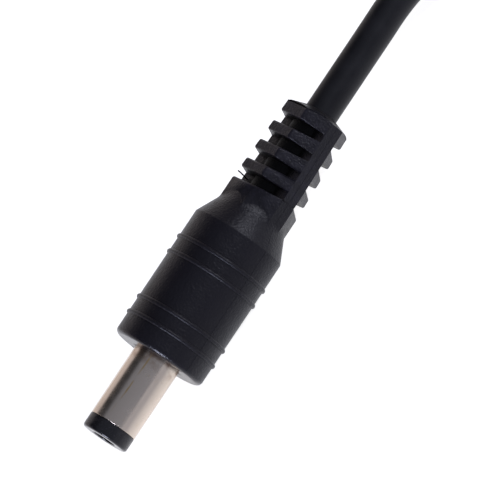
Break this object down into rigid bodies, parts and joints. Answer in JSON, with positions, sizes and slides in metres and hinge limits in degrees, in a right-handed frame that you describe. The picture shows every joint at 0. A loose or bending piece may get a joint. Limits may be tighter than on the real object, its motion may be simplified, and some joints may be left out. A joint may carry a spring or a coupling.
{
  "type": "dc barrel plug",
  "caption": "Moulded DC barrel plug with a ribbed grip and a slotted bend relief, on a round two-core lead folded into a hank with a stripped, tinned free end.",
  "frame": {"origin": "on the plug's axis, where the barrel leaves the moulding's front face", "axes": "+X along the plug from the tip towards the lead, +Z the direction in which the mould opens, XY the parting plane"},
  "size_m": [0.129, 0.035, 0.0123],
  "materials": {
    "moulded_pvc": "satin soft PVC moulding",
    "jacket_pvc": "satin extruded PVC",
    "nickelled_brass": "nickel-plated brass, finely turned",
    "insulator_plastic": "moulded engineering plastic",
    "contact_metal": "plated spring brass",
    "fibre_washer": "laminated paper",
    "tinned_brass": "stamped sheet, tinned",
    "red_insulation": "extruded PVC",
    "black_insulation": "extruded PVC",
    "copper_strands": "bare stranded copper",
    "tinned_strands": "stranded copper, dipped in solder",
    "solder": "soft solder",
    "strap": "woven nylon strap"
  },
  "bodies": {
    "root": {"overmould": "moulded_pvc", "outer_sleeve": "nickelled_brass", "nose_insulator": "insulator_plastic", "centre_contact": "contact_metal", "rear_washer": "fibre_washer", "solder_tag": "tinned_brass", "red_core": "red_insulation", "black_core": "black_insulation", "red_strands": "copper_strands", "black_strands": "copper_strands", "red_solder": "solder", "black_solder": "solder", "cable_jacket": "jacket_pvc", "free_cord": "jacket_pvc", "cord_hank": "jacket_pvc", "hank_strap": "strap", "red_core_end": "red_insulation", "black_core_end": "black_insulation", "red_strand_end": "tinned_strands", "black_strand_end": "tinned_strands"}
  },
  "joints": []
}
